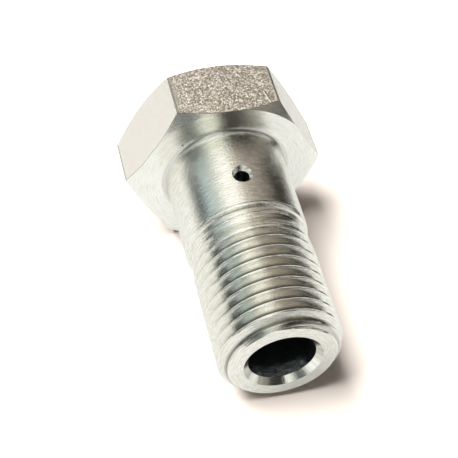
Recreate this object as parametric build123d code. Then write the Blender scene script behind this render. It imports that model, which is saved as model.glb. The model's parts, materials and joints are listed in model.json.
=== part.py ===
from build123d import *
from math import atan2, cos, degrees, radians, sin, sqrt, tan
import os

# Banjo bolt: a hollow bolt that clamps a ring-shaped pipe fitting to a port and
# carries the oil through its own bore and a small cross drilling. It is turned
# from hexagon bar in one piece, the thread is rolled, and the whole is zinc plated.
#
# Lengths are in millimetres. The bolt is first made upright on its own axis:
# z = 0 is the bearing face under the head, +z runs to the tip and +x is the
# direction of the cross drilling. At the end it is laid down as it comes to rest.

# Head
across_flats = 19.0
head_height = 7.3
bearing_ring_d = 19.3
bearing_chamfer_deg = 31.0
top_ring_d = 18.1
top_chamfer_deg = 32.0
under_head_fillet = 0.6

# Shank and thread (pipe thread G 1/4, 19 turns to the inch, right-handed)
under_head_length = 25.35
shank_d = 13.16
shank_length = 10.35
neck_d = 12.5
neck_length = 1.3
thread_major_d = 12.94
tip_face_d = 10.76

# Oilway
bore_d = 6.9
mouth_chamfer = 0.6
drill_point_deg = 118.0
bore_past_cross_hole = 0.65
cross_hole_d = 1.5
cross_hole_from_head = 6.15
countersink_d = 2.35
countersink_deg = 90.0

# Worked out from the sizes above
corner_radius = across_flats / sqrt(3)
tip_chamfer = (thread_major_d - tip_face_d) / 2
shank_step = (shank_d - neck_d) / 2
thread_step = (thread_major_d - neck_d) / 2
cross_hole_edge = cross_hole_from_head - cross_hole_d / 2
bore_end = cross_hole_edge - bore_past_cross_hole
cutter_overrun = 1.0


def turned_solid(outline):
    """Turn a closed outline of (radius, height) points round the bolt's axis.

    The turned faces start and end at +y, a quarter turn from the cross drilling.
    """
    points = [(0, radius, height) for radius, height in outline]
    return revolve(make_face(Polyline(*points, close=True)), Axis.Z)


def chamfer_drop(radius, ring_d, angle_deg):
    """How far a head chamfer has fallen away from the face at this radius."""
    return max(radius - ring_d / 2, 0) * tan(radians(angle_deg))


def hexagon_head():
    """Hexagon bar, chamfered on the lathe above and below its corners."""
    bar = extrude(
        RegularPolygon(across_flats / 2, 6, major_radius=False, rotation=30),
        amount=-head_height,
    )
    outside = corner_radius + cutter_overrun
    bearing_drop = chamfer_drop(outside, bearing_ring_d, bearing_chamfer_deg)
    top_drop = chamfer_drop(outside, top_ring_d, top_chamfer_deg)
    turned = turned_solid([
        (0, 0),
        (bearing_ring_d / 2, 0),
        (outside, -bearing_drop),
        (outside, -head_height + top_drop),
        (top_ring_d / 2, -head_height),
        (0, -head_height),
    ])
    # The turned faces start and end over the lowest flat, the one it rests on.
    return bar & (Rot(0, 0, 90) * turned)


def stem():
    """Plain shank, run-out neck, and the thread as a cylinder of its major diameter."""
    shank_edge = shank_length - shank_step
    thread_start = shank_length + neck_length
    thread_end = under_head_length - tip_chamfer
    return turned_solid([
        (0, 0),
        (shank_d / 2, 0),
        (shank_d / 2, shank_edge),
        (neck_d / 2, shank_length),
        (neck_d / 2, thread_start),
        (thread_major_d / 2, thread_start + thread_step),
        (thread_major_d / 2, thread_end),
        (tip_face_d / 2, under_head_length),
        (0, under_head_length),
    ])


def rounded_under_head(blank):
    """Round the corner where the shank grows out of the bearing face."""
    corner = (
        blank.edges()
        .filter_by(GeomType.CIRCLE)
        .filter_by(lambda edge: abs(edge.radius - shank_d / 2) < 1e-6)
        .sort_by(Axis.Z)[0]
    )
    return fillet(corner, under_head_fillet)


def axial_bore():
    """Blind drilling from the tip, past the cross drilling, with its drill point."""
    radius = bore_d / 2
    mouth_radius = radius + mouth_chamfer
    point_length = radius / tan(radians(drill_point_deg / 2))
    return turned_solid([
        (0, bore_end - point_length),
        (radius, bore_end),
        (radius, under_head_length - mouth_chamfer),
        (mouth_radius, under_head_length),
        (mouth_radius, under_head_length + cutter_overrun),
        (0, under_head_length + cutter_overrun),
    ])


def cross_drilling():
    """Small drilling straight through both walls, countersunk at each mouth."""
    reach = shank_d / 2 + cutter_overrun
    slope = tan(radians(countersink_deg / 2))
    cone_depth = countersink_d / 2 / slope
    drill = Cylinder(cross_hole_d / 2, 2 * reach)
    countersink = Pos(0, 0, reach - (cone_depth + cutter_overrun) / 2) * Cone(
        bottom_radius=0,
        top_radius=countersink_d / 2 + cutter_overrun * slope,
        height=cone_depth + cutter_overrun,
    )
    tool = drill + countersink + Rot(180, 0, 0) * countersink
    return Pos(0, 0, cross_hole_from_head) * Rot(0, 90, 0) * tool


def banjo_bolt():
    """The finished bolt, upright on its own axis."""
    blank = rounded_under_head(hexagon_head() + stem())
    return blank - axial_bore() - cross_drilling()


def laid_down(bolt):
    """Lay the bolt on the edge of one flat and the last turn of its thread.

    The tip points along -y and down to the floor, and the cross drilling points
    up. The origin is on the floor, under the middle of the bolt's box.
    """
    flat_edge = chamfer_drop(across_flats / 2, bearing_ring_d, bearing_chamfer_deg)
    thread_end = under_head_length - tip_chamfer
    tilt = atan2((across_flats - thread_major_d) / 2, thread_end + flat_edge)
    resting = Plane(
        origin=(0, 0, 0),
        x_dir=(0, -sin(tilt), cos(tilt)),
        z_dir=(0, -cos(tilt), -sin(tilt)),
    )
    laid = resting.location * bolt
    box = laid.bounding_box()
    print(f"tilt {degrees(tilt):.3f} deg, shift {-box.center().Y:.4f} {-box.min.Z:.4f}")
    return Pos(-box.center().X, -box.center().Y, -box.min.Z) * laid


os.makedirs("parts", exist_ok=True)
export_step(laid_down(banjo_bolt()), "parts/banjo_bolt.step")
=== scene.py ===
import json
from math import ceil, cos, inf, pi, radians, sin, sqrt, tan

import bmesh
import bpy
import numpy as np
from mathutils import Matrix, Vector


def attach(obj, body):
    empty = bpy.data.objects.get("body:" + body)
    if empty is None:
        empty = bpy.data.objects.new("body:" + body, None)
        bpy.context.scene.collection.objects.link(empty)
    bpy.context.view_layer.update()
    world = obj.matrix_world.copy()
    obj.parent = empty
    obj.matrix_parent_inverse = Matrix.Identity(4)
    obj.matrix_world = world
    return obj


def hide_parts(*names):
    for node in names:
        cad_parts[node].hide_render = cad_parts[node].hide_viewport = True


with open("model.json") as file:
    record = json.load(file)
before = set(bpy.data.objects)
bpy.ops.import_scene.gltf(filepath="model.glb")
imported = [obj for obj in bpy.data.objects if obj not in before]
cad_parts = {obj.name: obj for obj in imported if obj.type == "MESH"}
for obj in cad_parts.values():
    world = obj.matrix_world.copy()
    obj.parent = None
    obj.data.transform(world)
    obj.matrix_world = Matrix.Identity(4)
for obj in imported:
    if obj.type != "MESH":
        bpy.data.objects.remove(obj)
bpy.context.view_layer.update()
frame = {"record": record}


# ---------------------------------------------------------------------------
# 1. Hexagon head
# Cold-drawn steel hexagon bar, parted off and chamfered on the lathe above and
# below its corners. Its flats keep the skin of the bar, its corners a small round.
# ---------------------------------------------------------------------------
across_flats = 19.0
head_height = 7.3
bearing_ring = 9.65
bearing_slope = tan(radians(31.0))
top_ring = 9.05
top_slope = tan(radians(32.0))
corner_round = 0.16

# The bolt lies on one flat of its head and the last turn of its thread. Each part
# is made upright first, in millimetres: x points out of the cross drilling and z
# runs from the bearing face to the tip. It is then laid down, in metres.
mounts = {mount["name"]: mount for mount in frame["record"]["mounts"]}
toward_tip = Vector(mounts["thread"]["axis"]).normalized()
out_of_drilling = Vector((0, toward_tip.z, -toward_tip.y))
sideways = toward_tip.cross(out_of_drilling)
on_axis = Vector(mounts["thread"]["pos_m"])
on_face = Vector(mounts["under_head_face"]["pos_m"])
face_centre = on_axis + toward_tip * toward_tip.dot(on_face - on_axis)
upright_axes = np.array([out_of_drilling, sideways, toward_tip])
mm_per_metre = 1000
angle_digits = 9


def laid_down(points):
    """Points in mm on the upright bolt, as points in metres on the lying bolt."""
    return np.asarray(points, float) @ upright_axes / mm_per_metre + np.array(face_centre)


def faces_between_rings(rings, steps):
    """Four-sided faces between closed rings that have the same steps."""
    faces = []
    for ring in range(rings - 1):
        for step in range(steps):
            beside = (step + 1) % steps
            faces.append((
                ring * steps + step,
                ring * steps + beside,
                (ring + 1) * steps + beside,
                (ring + 1) * steps + step,
            ))
    return faces


def grid_of_rings(name, rings, angles):
    """A skin over rings of (radius, height) that may change with the angle."""
    count = len(angles)
    points = []
    for radius, height in rings:
        radius = np.broadcast_to(radius, count)
        height = np.broadcast_to(height, count)
        points.append(np.stack([radius * np.cos(angles), radius * np.sin(angles), height], 1))
    faces = faces_between_rings(len(rings), count)
    mesh = bpy.data.meshes.new(name)
    mesh.from_pydata(laid_down(np.concatenate(points)).tolist(), [], faces)
    return mesh


beside_corner = [radians(a) for a in (0, 0.15, 0.3, 0.45, 0.62, 0.85)]
across_flat = [radians(a) for a in np.arange(1.5, 59, 1.5)]
head_angles = set()
for corner in range(6):
    middle = radians(30 + 60 * corner)
    steps = [-a for a in beside_corner] + beside_corner + across_flat
    head_angles.update(round(middle + a, angle_digits) for a in steps)
head_angles = np.array(sorted(head_angles))

corner_reach = (across_flats / 2 - corner_round) / cos(pi / 6)
from_flat = (head_angles + pi / 6) % (pi / 3) - pi / 6
to_corner = pi / 6 - np.abs(from_flat)
off_corner = corner_reach * np.sin(to_corner)
straight = across_flats / 2 / np.cos(from_flat)
rounded = corner_reach * np.cos(to_corner) + np.sqrt(
    np.maximum(corner_round ** 2 - off_corner ** 2, 0)
)
on_round = (off_corner < corner_round) & (rounded < straight)
head_outline = np.where(on_round, rounded, straight)

bearing_start = np.minimum(head_outline, bearing_ring)
bearing_width = head_outline - bearing_start
top_start = np.minimum(head_outline, top_ring)
top_width = head_outline - top_start
flat_low = -bearing_width * bearing_slope
flat_high = -head_height + top_width * top_slope

top_shares = (0.0, 0.25, 0.5, 0.75, 0.93)
chamfer_shares = (0.0, 0.33, 0.67, 1.0)
flat_rows = 12
bearing_rings = (9.2, 8.75, 8.25, 7.75)
head_rings = [(top_ring * share, -head_height) for share in top_shares]
head_rings += [
    (top_start + top_width * share, -head_height + top_width * top_slope * share)
    for share in chamfer_shares
]
head_rings += [
    (head_outline, flat_high + (flat_low - flat_high) * row / flat_rows)
    for row in range(1, flat_rows + 1)
]
head_rings += [
    (bearing_start + bearing_width * share, flat_low * share)
    for share in reversed(chamfer_shares[:-1])
]
head_rings += [(ring, 0.0) for ring in bearing_rings]
head_mesh = grid_of_rings("head", head_rings, head_angles)


# ---------------------------------------------------------------------------
# 2. Shank and oilway
# Turned from the same bar: a plain shank with a small round under the head, which
# ends in a fine groove and a soft shoulder, and a blind bore drilled from the tip.
# ---------------------------------------------------------------------------
stem_steps = 240
shank_rows = 32
bore_rows = 23
under_head_round = 0.6
shoulder_from_shank = 0.1
shoulder_length = 0.45
shoulder_round = 0.5
groove_depth = 0.07
blank_radius = 6.2
tip_radius = 5.38
drill_point_angle = radians(118.0)


def along(mount):
    """Distance of a mount's middle from the bearing face, along the axis, in mm."""
    return mm_per_metre * toward_tip.dot(Vector(mount["pos_m"]) - face_centre)


def radius_of(mount):
    """Radius of a mount, in mm."""
    return mount["dims"]["r_mm"]


def ends_of(mount):
    """Heights at which a mount starts and ends on the upright bolt, in mm."""
    half = mount["dims"]["length_mm"] / 2
    return along(mount) - half, along(mount) + half


shank_radius = radius_of(mounts["shank"])
thread_radius = radius_of(mounts["thread"])
bore_radius = radius_of(mounts["bore"])
shank_end = ends_of(mounts["shank"])[1]
thread_end = ends_of(mounts["thread"])[1]
bore_end, bore_mouth = ends_of(mounts["bore"])
shoulder_start = shank_end + shoulder_from_shank
blank_start = shoulder_start + shoulder_length
tip_height = thread_end + thread_radius - tip_radius
mouth_radius = bore_radius + tip_height - bore_mouth
drill_point = bore_radius / tan(drill_point_angle / 2)

stem_angles = np.arange(stem_steps) * 2 * pi / stem_steps
shank_rings = [
    (
        shank_radius + under_head_round * (1 - sin(turn)),
        under_head_round * (1 - cos(turn)),
    )
    for turn in np.radians([0, 22, 38, 54, 72, 90])
]
shank_rings += [
    (shank_radius, height)
    for height in np.linspace(under_head_round, shoulder_start - 2 * groove_depth, shank_rows + 1)[1:]
]
shank_rings += [(shank_radius - groove_depth, shoulder_start - groove_depth)]
shank_rings += [
    (
        shank_radius - shoulder_round * (1 - cos(turn)),
        shoulder_start + shoulder_round * sin(turn),
    )
    for turn in np.radians([0, 10, 20, 32, 46])
]
shank_rings += [(blank_radius, blank_start)]
shank_mesh = grid_of_rings("shank", shank_rings, stem_angles)

bore_rings = [
    (tip_radius, tip_height),
    ((tip_radius + mouth_radius) / 2, tip_height),
    (mouth_radius, tip_height),
]
bore_rings += [(bore_radius, height) for height in np.linspace(bore_mouth, bore_end, bore_rows + 1)]
bore_rings += [
    (bore_radius * (1 - share), bore_end - drill_point * share) for share in (0.5, 1.0)
]
bore_mesh = grid_of_rings("bore", bore_rings, stem_angles)


def ring_of_triangles(name, outer_radius, outer_angles, inner_radius, inner_angles):
    """A flat ring on the bearing face, between two circles with different steps."""
    points = [(outer_radius * cos(a), outer_radius * sin(a), 0.0) for a in outer_angles]
    points += [(inner_radius * cos(a), inner_radius * sin(a), 0.0) for a in inner_angles]
    outer_count = len(outer_angles)
    inner_count = len(inner_angles)
    faces = []
    outer = 0
    inner = 0
    while outer < outer_count or inner < inner_count:
        next_outer = outer_angles[outer] if outer < outer_count else inf
        next_inner = inner_angles[inner] if inner < inner_count else inf
        here = (outer - 1) % outer_count
        there = outer_count + (inner - 1) % inner_count
        if next_outer <= next_inner:
            faces.append((here, outer, there))
            outer += 1
        else:
            faces.append((here, outer_count + inner, there))
            inner += 1
    mesh = bpy.data.meshes.new(name)
    mesh.from_pydata(laid_down(points).tolist(), [], faces)
    return mesh


bearing_mesh = ring_of_triangles(
    "bearing_face", bearing_rings[-1], head_angles, shank_rings[0][0], stem_angles,
)


# ---------------------------------------------------------------------------
# 3. Thread
# A right-handed pipe thread rolled into the blank: the roots are pressed in and
# the crests rise out of it. It fades in over the run-out and ends in a chamfer.
# ---------------------------------------------------------------------------
pitch = 1.337
thread_depth = 0.64 * pitch
thread_rounding = 0.08 * pitch
flank_angle = radians(27.5)
root_radius = thread_radius - thread_depth
crest_height_at_drilling = 14.576
full_thread_from = 14.6
pitch_rows = 24
crest_share = 0.5
turns_early = 2
weld_distance = 0.002

# Rolling leaves a shallow seam along each crest, wide where the thread is still
# shallow, and a lap where the last crest breaks through the chamfer of the tip.
seam_depth = 0.05
seam_width = 0.05
seam_widening = 0.25
seam_onset = 5.0
lap_depth = 0.2
lap_width = 0.13
lap_onset = 0.25

# The strip that is wound overruns the thread at both ends, where it is welded away
first_crest = ceil((blank_start - crest_height_at_drilling) / pitch)
strip_start = crest_height_at_drilling + (first_crest - turns_early - crest_share) * pitch
turns = ceil((tip_height - strip_start) / pitch)


def thread_form(share):
    """Height over the root, from 0 to 1, at a share of the pitch."""
    from_crest = abs(share - crest_share) * pitch
    to_root = pitch / 2 - from_crest
    rounded_for = thread_rounding * cos(flank_angle)
    if from_crest < rounded_for:
        fall = thread_rounding - sqrt(thread_rounding ** 2 - from_crest ** 2)
        return 1 - fall / thread_depth
    if to_root < rounded_for:
        rise = thread_rounding - sqrt(thread_rounding ** 2 - to_root ** 2)
        return rise / thread_depth
    return 0.5 + (pitch / 4 - from_crest) / tan(flank_angle) / thread_depth


def is_output(value):
    """Whether a value is a node's output, and not a plain number or place."""
    return hasattr(value, "is_output")


def wire(value, socket):
    """Link an output to a socket, or set the socket to a plain value."""
    if is_output(value):
        socket.id_data.links.new(value, socket)
    else:
        socket.default_value = value


def calc(operation, *values, clamp=False):
    """One Math node, in the tree of the outputs that it is fed with."""
    tree = next(value.id_data for value in values if is_output(value))
    node = tree.nodes.new("ShaderNodeMath")
    node.operation = operation
    node.use_clamp = clamp
    for value, socket in zip(values, node.inputs):
        wire(value, socket)
    return node.outputs[0]


# Arithmetic on outputs and numbers
def plus(first, *others):
    for other in others:
        first = calc("ADD", first, other)
    return first


def times(first, *others):
    for other in others:
        first = calc("MULTIPLY", first, other)
    return first


def minus(first, other):
    return calc("SUBTRACT", first, other)


def ratio(first, other):
    return calc("DIVIDE", first, other)


def lower(first, other):
    return calc("MINIMUM", first, other)


def higher(first, other):
    return calc("MAXIMUM", first, other)


def gap(first, other):
    return calc("ABSOLUTE", minus(first, other))


def split(vector):
    """The X, Y and Z outputs of a vector."""
    node = vector.id_data.nodes.new("ShaderNodeSeparateXYZ")
    wire(vector, node.inputs[0])
    return node.outputs


thread_tree = bpy.data.node_groups.new("rolled_thread", "GeometryNodeTree")
thread_sizes = {
    "Pitch": pitch,
    "Blank Radius": blank_radius,
    "Root Radius": root_radius,
    "Crest Radius": thread_radius,
    "Strip Start": strip_start,
    "Thread Start": blank_start,
    "Full Thread From": full_thread_from,
    "Tip Height": tip_height,
    "Tip Radius": tip_radius,
    "Seam Depth": seam_depth,
    "Seam Width": seam_width,
    "Seam Widening": seam_widening,
    "Seam Onset": seam_onset,
    "Lap Depth": lap_depth,
    "Lap Width": lap_width,
    "Lap Onset": lap_onset,
    "Weld Distance": weld_distance,
}
thread_counts = {"Turns": turns, "Steps per Turn": stem_steps, "Rows per Pitch": pitch_rows}
sockets = thread_tree.interface
sockets.new_socket("Geometry", in_out="INPUT", socket_type="NodeSocketGeometry")
for label in thread_sizes:
    sockets.new_socket(label, in_out="INPUT", socket_type="NodeSocketFloat")
for label in thread_counts:
    sockets.new_socket(label, in_out="INPUT", socket_type="NodeSocketInt")
sockets.new_socket("Material", in_out="INPUT", socket_type="NodeSocketMaterial")
sockets.new_socket("Geometry", in_out="OUTPUT", socket_type="NodeSocketGeometry")
given = thread_tree.nodes.new("NodeGroupInput").outputs
tree_out = thread_tree.nodes.new("NodeGroupOutput")

# A flat strip, one unit long for each turn and one wide for the pitch
strip = thread_tree.nodes.new("GeometryNodeMeshGrid")
wire(given["Turns"], strip.inputs["Size X"])
wire(1.0, strip.inputs["Size Y"])
wire(plus(times(given["Turns"], given["Steps per Turn"]), 1.0), strip.inputs["Vertices X"])
wire(plus(given["Rows per Pitch"], 1.0), strip.inputs["Vertices Y"])
strip_at = split(thread_tree.nodes.new("GeometryNodeInputPosition").outputs[0])
turn_share = plus(strip_at["X"], times(given["Turns"], 0.5))
pitch_share = plus(strip_at["Y"], 0.5)

# Its height on the bolt, held between the shoulder and the tip
climbed = plus(given["Strip Start"], times(given["Pitch"], plus(turn_share, pitch_share)))
height = lower(higher(climbed, given["Thread Start"]), given["Tip Height"])

# The radius that the roller leaves: the thread's form, standing off over the run-out
form = thread_tree.nodes.new("ShaderNodeFloatCurve")
wire(pitch_share, form.inputs["Value"])
curve = form.mapping.curves[0]
curve.points[0].location = (0.0, thread_form(0.0))
curve.points[1].location = (1.0, thread_form(1.0))
for row in range(1, pitch_rows):
    curve.points.new(row / pitch_rows, thread_form(row / pitch_rows))
for point in curve.points:
    point.handle_type = "VECTOR"
form.mapping.update()
grown_node = thread_tree.nodes.new("ShaderNodeMapRange")
grown_node.interpolation_type = "SMOOTHSTEP"
wire(height, grown_node.inputs["Value"])
wire(given["Thread Start"], grown_node.inputs["From Min"])
wire(given["Full Thread From"], grown_node.inputs["From Max"])
grown = grown_node.outputs["Result"]
ungrown = minus(1.0, grown)
form_depth = minus(given["Crest Radius"], given["Root Radius"])
rolled = plus(given["Root Radius"], times(form.outputs["Value"], form_depth))
standing_off = times(ungrown, minus(given["Blank Radius"], given["Root Radius"]))
roller = plus(rolled, standing_off)

# The radius that the pressed-out steel reaches, less the seam
rise = times(grown, minus(given["Crest Radius"], given["Blank Radius"]))
off_crest = gap(pitch_share, crest_share)
seam_reach = plus(given["Seam Width"], times(ungrown, given["Seam Widening"]))
seam = higher(minus(1.0, ratio(off_crest, seam_reach)), 0.0)
seam_share = lower(times(grown, given["Seam Onset"]), 1.0)
sunk = times(seam, given["Seam Depth"], seam_share)
crest = minus(plus(given["Blank Radius"], rise), sunk)

# The chamfer of the tip, less the lap
from_tip = minus(given["Tip Height"], height)
lap_fade = times(lower(ratio(from_tip, given["Lap Onset"]), 1.0), given["Lap Depth"])
lap = times(higher(minus(1.0, ratio(off_crest, given["Lap Width"])), 0.0), lap_fade)
chamfer = minus(plus(given["Tip Radius"], from_tip), lap)

radius = lower(lower(roller, crest), chamfer)
angle = times(calc("FRACT", turn_share), 2 * pi)
wound = thread_tree.nodes.new("ShaderNodeCombineXYZ")
wire(times(radius, calc("COSINE", angle)), wound.inputs["X"])
wire(times(radius, calc("SINE", angle)), wound.inputs["Y"])
wire(height, wound.inputs["Z"])
wind = thread_tree.nodes.new("GeometryNodeSetPosition")
wire(strip.outputs["Mesh"], wind.inputs["Geometry"])
wire(wound.outputs[0], wind.inputs["Position"])
weld = thread_tree.nodes.new("GeometryNodeMergeByDistance")
wire(given["Weld Distance"], weld.inputs["Distance"])
wire(wind.outputs[0], weld.inputs[0])
real = thread_tree.nodes.new("GeometryNodeRealizeInstances")
wire(weld.outputs[0], real.inputs[0])
painted = thread_tree.nodes.new("GeometryNodeSetMaterial")
wire(real.outputs[0], painted.inputs["Geometry"])
wire(given["Material"], painted.inputs["Material"])
wire(painted.outputs[0], tree_out.inputs[0])

zinc = bpy.data.materials.new("zinc_plated_steel")
winder = bpy.data.objects.new("thread_winder", bpy.data.meshes.new("thread_winder"))
bpy.context.scene.collection.objects.link(winder)
modifier = winder.modifiers.new("thread", "NODES")
modifier.node_group = thread_tree
thread_values = {**thread_sizes, **thread_counts, "Material": zinc}
for item in sockets.items_tree:
    if item.in_out == "INPUT" and item.name in thread_values:
        modifier[item.identifier] = thread_values[item.name]


def finished_mesh(piece):
    """The mesh of a piece with its modifiers applied."""
    return bpy.data.meshes.new_from_object(
        piece.evaluated_get(bpy.context.evaluated_depsgraph_get())
    )


thread_mesh = finished_mesh(winder)
winder.modifiers.remove(modifier)
bpy.data.objects.remove(winder)
thread_points = np.empty(len(thread_mesh.vertices) * 3)
thread_mesh.vertices.foreach_get("co", thread_points)
thread_points = laid_down(thread_points.reshape(-1, 3))
thread_mesh.vertices.foreach_set("co", thread_points.ravel())


# ---------------------------------------------------------------------------
# 4. One blank
# Head, shank, thread and bore are one piece of steel, so their skins are welded
# into one closed body.
# ---------------------------------------------------------------------------
seam_tolerance = 1e-6
sliver_length = 1e-7


def closed_mesh(mesh, *skins):
    """Weld skins into one closed mesh whose faces point outwards."""
    body = bmesh.new()
    for skin in skins:
        body.from_mesh(skin)
    bmesh.ops.remove_doubles(body, verts=body.verts, dist=seam_tolerance)
    bmesh.ops.dissolve_degenerate(body, edges=body.edges, dist=sliver_length)
    bmesh.ops.recalc_face_normals(body, faces=body.faces)
    body.to_mesh(mesh)
    body.free()
    return mesh


blank_mesh = closed_mesh(
    bpy.data.meshes.new("banjo_bolt_plated"),
    head_mesh, bearing_mesh, shank_mesh, thread_mesh, bore_mesh,
)
bolt = bpy.data.objects.new("banjo_bolt_plated", blank_mesh)
bpy.context.scene.collection.objects.link(bolt)


# ---------------------------------------------------------------------------
# 5. Cross drilling
# A small oil hole drilled straight through both walls of the shank into the
# bore, then countersunk at each mouth to take off the burr.
# ---------------------------------------------------------------------------
drilling_height = 6.15
drilling_radius = 0.75
countersink_radius = 1.175
overrun = 0.6
drill_steps = 64
sharp_edge = radians(24)

drill_angles = np.arange(drill_steps) * 2 * pi / drill_steps
drill_profile = [
    (0.0, shank_radius + overrun),
    (countersink_radius + overrun, shank_radius + overrun),
    (drilling_radius, shank_radius - countersink_radius + drilling_radius),
]
drill_profile += [(r, -x) for r, x in reversed(drill_profile)]
drill_points = [
    (x, r * cos(a), drilling_height + r * sin(a)) for r, x in drill_profile for a in drill_angles
]
drill_faces = faces_between_rings(len(drill_profile), drill_steps)
drill_skin = bpy.data.meshes.new("drill_skin")
drill_skin.from_pydata(laid_down(drill_points).tolist(), [], drill_faces)
drill = bpy.data.objects.new("drill", closed_mesh(bpy.data.meshes.new("drill"), drill_skin))
bpy.context.scene.collection.objects.link(drill)
drilled = bolt.modifiers.new("cross_drilling", "BOOLEAN")
drilled.operation = "DIFFERENCE"
drilled.solver = "MANIFOLD"
drilled.object = drill
drilled_mesh = finished_mesh(bolt)
bolt.modifiers.remove(drilled)
bolt.data = drilled_mesh
bpy.data.objects.remove(drill)
bolt.data.shade_smooth()
bolt.data.set_sharp_from_angle(angle=sharp_edge)


# ---------------------------------------------------------------------------
# 6. Zinc on the turned steel
# A thin bright coat of zinc over the whole bolt. Where the lathe has cut, it shows
# the fine rings of the tool. Painted shade darkens the roots and flanks of the thread
# and the round under the head, and a small pit on the bearing face holds dirt.
# ---------------------------------------------------------------------------
# The dark tone of the pit's dirt and of painted shade
dirt_and_shade_tone = (0.1, 0.09, 0.07)
turned_tone = (0.93, 0.93, 0.88)
turned_hollow_tone = (0.83, 0.82, 0.74)
turned_ridge_tone = (1.0, 1.0, 0.97)
turned_roughness = 0.16
corner_roughness = 0.5
lathe_brushing = 0.9
lathe_relief = 0.000024
quarter_turn = 0.25
ring_grain = (6.0, 6.0, 11.0)
ring_height = 1.4
pore_grain = (6.0, 6.0, 6.0)
pore_height = 0.7
tone_range = (0.3, 0.6)
streak_range = (0.38, 0.6)
face_streak = 0.1

# Where the marks fade, where shade is painted and where the pit lies: heights and radii on the
# upright bolt
bearing_face_edge = (0.1, 0.5)
marks_on_bearing_face = 0.28
thread_edge = (12.5, 14.0)
marks_on_thread = 0.5
# Painted shade in the thread: its roots and flanks are darkened between the shank and the tip
root_edge = (5.61, 5.9)
root_shade = 0.7
flank_edge = (5.9, 6.42)
flank_shade = 0.09
shade_from_shank = (11.0, 13.0)
shade_to_tip = (24.8, 25.2)
bore_wall = bore_radius + 1.2
# Painted shade in the round under the head
corner_inside = (6.59, 6.64)
corner_outside = (7.0, 7.22)
under_head_shade = 0.22
corner_below = (-1.0, -0.9)
pit_place = (5.28, 4.98, 0.0)
pit_edge = (0.07, 0.16)
pit_dirt = 0.9


def plated(material, tone, roughness, brushing=0.0):
    """Bright zinc, its gloss drawn out across the marks of a tool by its brushing.

    Gives its shader, the place on the lying bolt, and the upright place in mm.
    """
    material.use_nodes = True
    tree = material.node_tree
    shader = tree.nodes["Principled BSDF"]
    wire(1.0, shader.inputs["Metallic"])
    wire((*tone, 1.0), shader.inputs["Base Color"])
    wire(roughness, shader.inputs["Roughness"])
    wire(brushing, shader.inputs["Anisotropic"])
    wire(quarter_turn, shader.inputs["Anisotropic Rotation"])
    lying = tree.nodes.new("ShaderNodeTexCoord").outputs["Object"]
    stand_up = tree.nodes.new("ShaderNodeMapping")
    stand_up.vector_type = "TEXTURE"
    upright_turn = Matrix((out_of_drilling, sideways, toward_tip)).transposed()
    wire(face_centre, stand_up.inputs["Location"])
    wire(upright_turn.to_euler(), stand_up.inputs["Rotation"])
    wire([1 / mm_per_metre] * 3, stand_up.inputs["Scale"])
    wire(lying, stand_up.inputs["Vector"])
    return shader, lying, stand_up.outputs["Vector"]


def vector_calc(operation, *vectors):
    """One Vector Math node, fed with outputs or places; gives a place or a number."""
    tree = next(vector.id_data for vector in vectors if is_output(vector))
    node = tree.nodes.new("ShaderNodeVectorMath")
    node.operation = operation
    for vector, socket in zip(vectors, node.inputs):
        wire(vector, socket)
    gives_number = operation in ("DISTANCE", "LENGTH", "DOT_PRODUCT")
    return node.outputs["Value" if gives_number else "Vector"]


def grain(place, scale, detail, roughness=0.6):
    """Noise from 0 to 1, with its scale along each axis of the place."""
    noise = place.id_data.nodes.new("ShaderNodeTexNoise")
    wire(1.0, noise.inputs["Scale"])
    wire(detail, noise.inputs["Detail"])
    wire(roughness, noise.inputs["Roughness"])
    wire(vector_calc("MULTIPLY", place, scale), noise.inputs["Vector"])
    return noise.outputs["Fac"]


def spread(value, low, high, to_low=0.0, to_high=1.0):
    """Map a range of a value on to another, held at its ends."""
    node = value.id_data.nodes.new("ShaderNodeMapRange")
    wire(value, node.inputs["Value"])
    wire(low, node.inputs["From Min"])
    wire(high, node.inputs["From Max"])
    wire(to_low, node.inputs["To Min"])
    wire(to_high, node.inputs["To Max"])
    return node.outputs["Result"]


def blend(share, first, second):
    """A tone between two, by the share of the second."""
    mix = share.id_data.nodes.new("ShaderNodeMix")
    mix.data_type = "RGBA"
    share_in, first_in, second_in = [socket for socket in mix.inputs if socket.enabled]
    wire(share, share_in)
    wire(first if is_output(first) else (*first, 1.0), first_in)
    wire(second if is_output(second) else (*second, 1.0), second_in)
    return next(socket for socket in mix.outputs if socket.enabled)


def round_the_axis(upright_place):
    """The parts of an upright place, its radius, and the place as a tool runs over it."""
    at = split(upright_place)
    out = calc("SQRT", plus(calc("POWER", at["X"], 2.0), calc("POWER", at["Y"], 2.0)))
    turned = upright_place.id_data.nodes.new("ShaderNodeCombineXYZ")
    wire(ratio(at["X"], out), turned.inputs["X"])
    wire(ratio(at["Y"], out), turned.inputs["Y"])
    wire(minus(out, at["Z"]), turned.inputs["Z"])
    return at, out, turned.outputs[0]


def relief(shader, height, distance):
    """Bump from a height of 0 to 1; the distance is in metres."""
    bump = shader.id_data.nodes.new("ShaderNodeBump")
    wire(1.0, bump.inputs["Strength"])
    wire(distance, bump.inputs["Distance"])
    wire(height, bump.inputs["Height"])
    wire(bump.outputs["Normal"], shader.inputs["Normal"])


def tinted(shader, value, hollow_tone, ridge_tone, dirt_and_shade):
    """Tone that goes with a noise, darker in its hollows, and darkened by dirt and by painted shade.
    """
    clean = blend(spread(value, *tone_range), hollow_tone, ridge_tone)
    wire(blend(dirt_and_shade, clean, dirt_and_shade_tone), shader.inputs["Base Color"])


shader, lying_place, upright_place = plated(zinc, turned_tone, turned_roughness, lathe_brushing)
from_centre = vector_calc("SUBTRACT", lying_place, face_centre)
wire(vector_calc("CROSS_PRODUCT", toward_tip, from_centre), shader.inputs["Tangent"])
at, out, turned = round_the_axis(upright_place)

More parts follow.
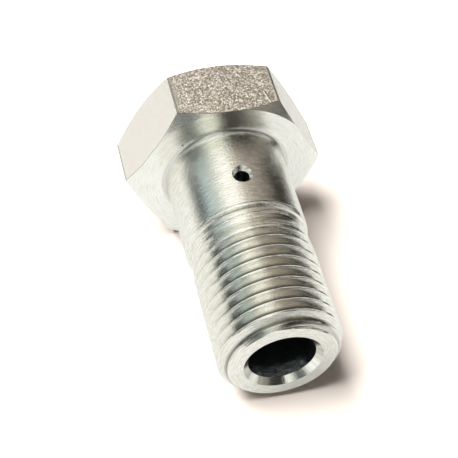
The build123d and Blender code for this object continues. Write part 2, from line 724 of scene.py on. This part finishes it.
rings = grain(turned, ring_grain, detail=2.0)
pores = grain(upright_place, pore_grain, detail=1.0, roughness=0.5)
marks = plus(times(rings, ring_height), times(pores, pore_height))
depth_of_marks = times(
    spread(at["Z"], *bearing_face_edge, marks_on_bearing_face, 1.0),
    spread(at["Z"], *thread_edge, 1.0, marks_on_thread),
)
relief(shader, times(marks, depth_of_marks), lathe_relief)

# Painted shade: the roots and flanks of the thread are darkened, outside the bore
shaded_roots = plus(
    spread(out, *root_edge, root_shade, 0.0),
    spread(out, *flank_edge, flank_shade, 0.0),
)
on_thread = times(spread(at["Z"], *shade_to_tip, 1.0, 0.0), spread(at["Z"], *shade_from_shank))
shaded_roots = times(shaded_roots, on_thread, calc("GREATER_THAN", out, bore_wall))
# Painted shade darkens the round under the head, which is also made rougher
shaded_under_head = times(
    spread(out, *corner_inside),
    spread(out, *corner_outside, under_head_shade, 0.0),
    spread(at["Z"], *corner_below),
)
in_pit = spread(vector_calc("DISTANCE", upright_place, pit_place), *pit_edge, pit_dirt, 0.0)
dirt_and_shade = plus(shaded_roots, shaded_under_head, in_pit)
wire(plus(times(shaded_under_head, corner_roughness), turned_roughness), shader.inputs["Roughness"])

streaks = spread(rings, *streak_range, *tone_range)
streaks = plus(streaks, spread(at["Z"], *bearing_face_edge, face_streak, 0.0))
tinted(shader, streaks, turned_hollow_tone, turned_ridge_tone, dirt_and_shade)


# ---------------------------------------------------------------------------
# 7. Zinc on the flats
# The flats keep the drawn skin of the bar, so the zinc lies on them in fine grains,
# each at its own small tilt. The upper flat has a short scratch near its edge.
# ---------------------------------------------------------------------------
flat_tone = (0.93, 0.92, 0.87)
flat_hollow_tone = (0.9, 0.84, 0.77)
flat_ridge_tone = (1.0, 1.0, 0.97)
flat_roughness = 0.15
crystals_per_mm = 6.2
crystal_relief = 0.00042
grain_on_flat = (5.0, 5.0, 5.0)
grain_height = 0.1
glint_range = (0.45, 0.7)
smooth_flat_glint = 0.33
upper_flat_edge = (5.2, 5.8)
roughness_on_one_side = 0.2
roughness_on_other_side = 0.5
scratch_at = -4.17
scratch_middle = -2.49
scratch_lean = 0.205
scratch_edge = (0.03, 0.13)
scratch_start = (-2.6, -2.2)
scratch_end = (-0.7, -0.5)
scratch_ridge = 0.08
scratched_flat = 9.0
# Painted shade: dark lines on the flats along their edge at the bearing chamfer and along the rounded
# corners
chamfer_edge = (0.03, 0.14)
chamfer_edge_shade = 0.6
corner_edge = (10.8, 10.93)
corner_edge_shade = 0.5

bar_skin = bpy.data.materials.new("zinc_plated_bar_skin")
shader, _, upright_place = plated(bar_skin, flat_tone, flat_roughness)
at, out, _ = round_the_axis(upright_place)

crystals = bar_skin.node_tree.nodes.new("ShaderNodeTexVoronoi")
wire(crystals_per_mm, crystals.inputs["Scale"])
wire(upright_place, crystals.inputs["Vector"])
from_crystal = vector_calc("SUBTRACT", upright_place, crystals.outputs["Position"])
tilt = vector_calc("SUBTRACT", crystals.outputs["Color"], (0.5, 0.5, 0.5))
facet = vector_calc("DOT_PRODUCT", from_crystal, tilt)
grains = grain(upright_place, grain_on_flat, detail=2.0)
rougher = lower(
    spread(at["Y"], *upper_flat_edge, 1.0, roughness_on_one_side),
    spread(times(at["Y"], -1.0), *upper_flat_edge, 1.0, roughness_on_other_side),
)

scratch_line = minus(scratch_at, times(minus(at["Z"], scratch_middle), scratch_lean))
scratch = times(
    spread(gap(at["Y"], scratch_line), *scratch_edge, 1.0, 0.0),
    spread(at["Z"], *scratch_start),
    spread(at["Z"], *scratch_end, 1.0, 0.0),
    calc("GREATER_THAN", at["X"], scratched_flat),
)
uneven = times(plus(facet, times(grains, grain_height)), rougher)
relief(shader, plus(uneven, times(scratch, scratch_ridge)), crystal_relief)

glints = higher(spread(grains, *glint_range, *tone_range), scratch)
even_glint = spread(rougher, roughness_on_one_side, 1.0, smooth_flat_glint, 0.0)
glints = plus(times(glints, rougher), even_glint)
# Painted shade along the flats' edge at the bearing chamfer and along the rounded corners
chamfer_fall = times(higher(minus(out, bearing_ring), 0.0), bearing_slope)
inside_chamfer = minus(times(at["Z"], -1.0), chamfer_fall)
shade_by_chamfer = spread(inside_chamfer, *chamfer_edge, chamfer_edge_shade, 0.0)
shade_by_corner = spread(out, *corner_edge, 0.0, corner_edge_shade)
tinted(shader, glints, flat_hollow_tone, flat_ridge_tone, higher(shade_by_chamfer, shade_by_corner))


# ---------------------------------------------------------------------------
# 8. Zinc in the bore
# The plating is thin and oily inside the drillings, so their zinc is dark, and painted
# shade darkens them more the further they lie from the bore's mouth. The drill has
# chattered on the lower side of the bore, just inside its mouth.
# ---------------------------------------------------------------------------
bore_tone = (0.42, 0.46, 0.5)
bore_hollow_tone = (0.45, 0.48, 0.5)
bore_ridge_tone = (0.6, 0.65, 0.7)
bore_roughness = 0.3
chatter_relief = 0.00006
chatter_grain = (8.0, 8.0, 14.0)
chatter_range = (0.5, 0.8)
chatter_below = (-1.6, -2.6)
chatter_from_mouth = (1.8, 0.4)
shade_from_mouth = 2.6
darkest_shade = 0.35

oiled = bpy.data.materials.new("zinc_plated_bore")
shader, _, upright_place = plated(oiled, bore_tone, bore_roughness)
at, _, turned = round_the_axis(upright_place)
chatter = grain(turned, chatter_grain, detail=2.0)
underneath = spread(at["X"], *chatter_below)
from_mouth = minus(bore_mouth, at["Z"])
by_mouth = spread(from_mouth, *chatter_from_mouth)
chattered = times(underneath, by_mouth, spread(chatter, *chatter_range))
relief(shader, chattered, chatter_relief)
# Painted shade: darker with the distance from the mouth of the bore
painted_depth_shade = spread(from_mouth, 0.0, shade_from_mouth, 0.0, darkest_shade)
tinted(shader, chatter, bore_hollow_tone, bore_ridge_tone, painted_depth_shade)


# ---------------------------------------------------------------------------
# 9. Plated bolt
# Each face takes the zinc of the way it was made: turned, drilled, or left as the
# bar came. The bolt is one rigid piece.
# ---------------------------------------------------------------------------
on_wall = 0.02
flats_outside = 9.3
flats_upright = 0.1
finishes = (zinc, oiled, bar_skin)

bolt.data.materials.clear()
for finish in finishes:
    bolt.data.materials.append(finish)
normals = np.empty(len(bolt.data.polygons) * 3)
centres = np.empty(len(bolt.data.polygons) * 3)
bolt.data.polygons.foreach_get("normal", normals)
bolt.data.polygons.foreach_get("center", centres)
normals = normals.reshape(-1, 3) @ upright_axes.T
centres = (centres.reshape(-1, 3) - np.array(face_centre)) @ upright_axes.T * mm_per_metre
centre_x, centre_y, centre_z = centres.T
off_axis = np.hypot(centre_x, centre_y)
off_drilling = np.hypot(centre_y, centre_z - drilling_height)
on_flat = (off_axis > flats_outside) & (np.abs(normals[:, 2]) < flats_upright)
drilled_out = (off_axis < bore_radius + on_wall) & (centre_z > 0) & (centre_z < bore_mouth)
drilled_out |= off_drilling < drilling_radius + on_wall
finish_of_face = np.select(
    [on_flat, drilled_out], [finishes.index(bar_skin), finishes.index(oiled)],
)
bolt.data.polygons.foreach_set("material_index", finish_of_face)

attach(bolt, "root")
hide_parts("banjo_bolt")


# ---------------------------------------------------------------------------
# 10. Floor
# A wide sheet of matt white board that the bolt lies on. It catches the bolt's
# shadow. To the metal alone it glows pale, as a painted reflection, with painted dark
# patches to the right and in front, and less glow beside the tip.
# Its lengths are in metres.
# ---------------------------------------------------------------------------
floor_half = 2
white = (1.0, 1.0, 1.0)
dark_patch_beside = (0.03, 0.065)
dark_patch_ahead = (-0.09, -0.14)
board_edge = (0.1, 0.35)
under_tip = (0.004, -0.016, 0.0)
tip_shade = (0.002, 0.009)

# The board is grey to the light that it throws back, and white to the camera; to the metal its tone
# is painted near white
board_tone = (0.5, 0.48, 0.46)
board_mirrored_tone = (0.98, 0.98, 0.94)
board_seen_tone = (2.35, 2.18, 2.04)
# Painted reflection: the board glows to the metal alone, less beside the tip, with dark patches in it
board_glow_tone = (1.0, 1.0, 0.96)
dark_patch_tone = (0.04, 0.04, 0.03)
dark_patch_share = 0.24
glow_beside_tip = 0.27
glow_elsewhere = 0.75


def first_mirrored(path):
    """1 for a ray that the bolt mirrors, and 0 once it has met something matt."""
    return calc("SUBTRACT", path["Is Glossy Ray"], path["Diffuse Depth"], clamp=True)


def glow(tree, tone):
    """A surface that shines plainly in a tone."""
    node = tree.nodes.new("ShaderNodeEmission")
    wire(tone if is_output(tone) else (*tone, 1.0), node.inputs["Color"])
    return node.outputs[0]


def blend_shaders(share, first, second):
    """A shader between two, by the share of the second."""
    mix = share.id_data.nodes.new("ShaderNodeMixShader")
    wire(share, mix.inputs[0])
    wire(first, mix.inputs[1])
    wire(second, mix.inputs[2])
    return mix.outputs[0]


floor_mesh = bpy.data.meshes.new("floor")
corner_signs = ((-1, -1), (1, -1), (1, 1), (-1, 1))
floor_corners = [(x * floor_half, y * floor_half, 0) for x, y in corner_signs]
floor_mesh.from_pydata(floor_corners, [], [(0, 1, 2, 3)])
floor = bpy.data.objects.new("floor", floor_mesh)
bpy.context.scene.collection.objects.link(floor)
board = bpy.data.materials.new("white_board")
board.use_nodes = True
tree = board.node_tree
shader = tree.nodes["Principled BSDF"]
wire(1.0, shader.inputs["Roughness"])
wire(0.0, shader.inputs["Specular IOR Level"])
path = tree.nodes.new("ShaderNodeLightPath").outputs
mirrored = first_mirrored(path)
matt_tone = blend(mirrored, board_tone, board_mirrored_tone)
wire(blend(path["Is Camera Ray"], matt_tone, board_seen_tone), shader.inputs["Base Color"])
spot = tree.nodes.new("ShaderNodeTexCoord").outputs["Object"]
across = split(spot)
glow_share = spread(
    vector_calc("DISTANCE", spot, under_tip), *tip_shade, glow_beside_tip, glow_elsewhere,
)
# Painted reflection: dark patches in the glow, beside the bolt and ahead of it
dark_patch = higher(spread(across["X"], *dark_patch_beside), spread(across["Y"], *dark_patch_ahead))
shine = glow(tree, blend(dark_patch, board_glow_tone, dark_patch_tone))
shine_share = times(mirrored, plus(glow_share, times(dark_patch, dark_patch_share)))
lit = blend_shaders(shine_share, shader.outputs[0], shine)
far = spread(vector_calc("LENGTH", spot), *board_edge)
faded = blend_shaders(times(path["Is Camera Ray"], far), lit, glow(tree, white))
wire(faded, tree.nodes["Material Output"].inputs["Surface"])
floor_mesh.materials.append(board)


# ---------------------------------------------------------------------------
# 11. Room, lamp and camera
# Pale and dark panels hang round the bolt, one ring of them behind it and one in
# front, and only the metal mirrors them. One softbox overhead gives the light.
# ---------------------------------------------------------------------------
full_circle = 360
pale = (1.0, 1.0, 0.93)
panels_behind = [
    (-180, pale), (180, pale), (-100, pale), (-93, (0.04, 0.035, 0.03)),
    (-68, (0.02, 0.02, 0.015)), (-62, (0.1, 0.085, 0.07)), (-30, (0.33, 0.285, 0.24)),
    (-14, (0.46, 0.41, 0.35)), (-5, (0.65, 0.6, 0.5)), (2, (1.15, 1.12, 1.05)),
    (22, (1.15, 1.12, 1.05)), (33, (0.75, 0.78, 0.7)), (42, (0.53, 0.61, 0.6)),
    (61, (0.48, 0.58, 0.58)), (66, (0.08, 0.1, 0.1)), (85, (0.07, 0.085, 0.08)), (91, pale),
]
panels_in_front = [
    (-180, pale), (180, pale), (-100, pale), (-95, (0.3, 0.28, 0.24)),
    (-76, (0.3, 0.28, 0.24)), (-60, (0.03, 0.03, 0.025)), (-10, (0.03, 0.03, 0.025)),
    (3, (0.85, 0.86, 0.76)), (36, (0.85, 0.89, 0.8)), (50, (0.2, 0.22, 0.2)),
    (62, (0.1, 0.12, 0.11)), (85, (0.1, 0.12, 0.11)), (92, pale),
]
front_from = (0.15, -0.3)
overhead_strip_at = -0.07
overhead_strip_edge = (0.14, 0.04)
overhead_strip_tone = (1.5, 1.5, 1.45)
room_tone = (0.05, 0.045, 0.042)


def panels(share, stops):
    """A ramp of soft-edged panels round the bolt: degrees from overhead, and tone."""
    ramp = share.id_data.nodes.new("ShaderNodeValToRGB")
    wire(share, ramp.inputs["Fac"])
    marks = ramp.color_ramp.elements
    for number, (degree, tone) in enumerate(stops):
        position = degree / full_circle + 0.5
        mark = marks[number] if number < 2 else marks.new(position)
        mark.position = position
        mark.color = (*tone, 1.0)
    return ramp.outputs["Color"]


world = bpy.data.worlds.new("studio")
bpy.context.scene.world = world
world.use_nodes = True
tree = world.node_tree
background = tree.nodes["Background"]
wire(1.0, background.inputs["Strength"])
looking = split(tree.nodes.new("ShaderNodeTexCoord").outputs["Generated"])
from_overhead = calc("ARCTAN2", times(looking["X"], -1.0), looking["Z"])
round_share = plus(ratio(from_overhead, 2 * pi), 0.5)
room = blend(
    spread(looking["Y"], *front_from),
    panels(round_share, panels_behind), panels(round_share, panels_in_front),
)
off_strip = gap(looking["Y"], overhead_strip_at)
room = blend(spread(off_strip, *overhead_strip_edge), room, overhead_strip_tone)
path = tree.nodes.new("ShaderNodeLightPath").outputs
room = blend(first_mirrored(path), room_tone, room)
room = blend(path["Is Camera Ray"], room, white)
wire(room, background.inputs["Color"])

softbox = bpy.data.lights.new("softbox", "AREA")
softbox.shape = "RECTANGLE"
softbox.size = 0.34
softbox.size_y = 0.5
softbox.energy = 3.35
softbox.color = (1.02, 1.0, 0.97)
softbox_lean = radians(23)
softbox_reach = 0.6
softbox_back = 0.035
hung = bpy.data.objects.new("softbox", softbox)
hung.visible_glossy = False
hung.location = (-softbox_reach * sin(softbox_lean), softbox_back, softbox_reach * cos(softbox_lean))
hung.rotation_euler = (0, -softbox_lean, 0)
bpy.context.scene.collection.objects.link(hung)

lens = bpy.data.cameras.new("camera")
lens.lens = 101.355
lens.sensor_width = 36.0
lens.sensor_fit = "HORIZONTAL"
lens.clip_start = 0.01
lens.clip_end = 10.0
camera = bpy.data.objects.new("camera", lens)
bpy.context.scene.collection.objects.link(camera)
camera_place = (-0.027652, -0.095479, 0.101450)
camera_right = Vector((0.97186, -0.23336, 0.03223))
camera_forward = Vector((0.19218, 0.70625, -0.68138))
camera_axes = Matrix((camera_right, camera_right.cross(camera_forward), -camera_forward))
camera.matrix_world = Matrix.Translation(camera_place) @ camera_axes.transposed().to_4x4()
bpy.context.scene.camera = camera
bpy.context.scene.view_settings.view_transform = "Standard"
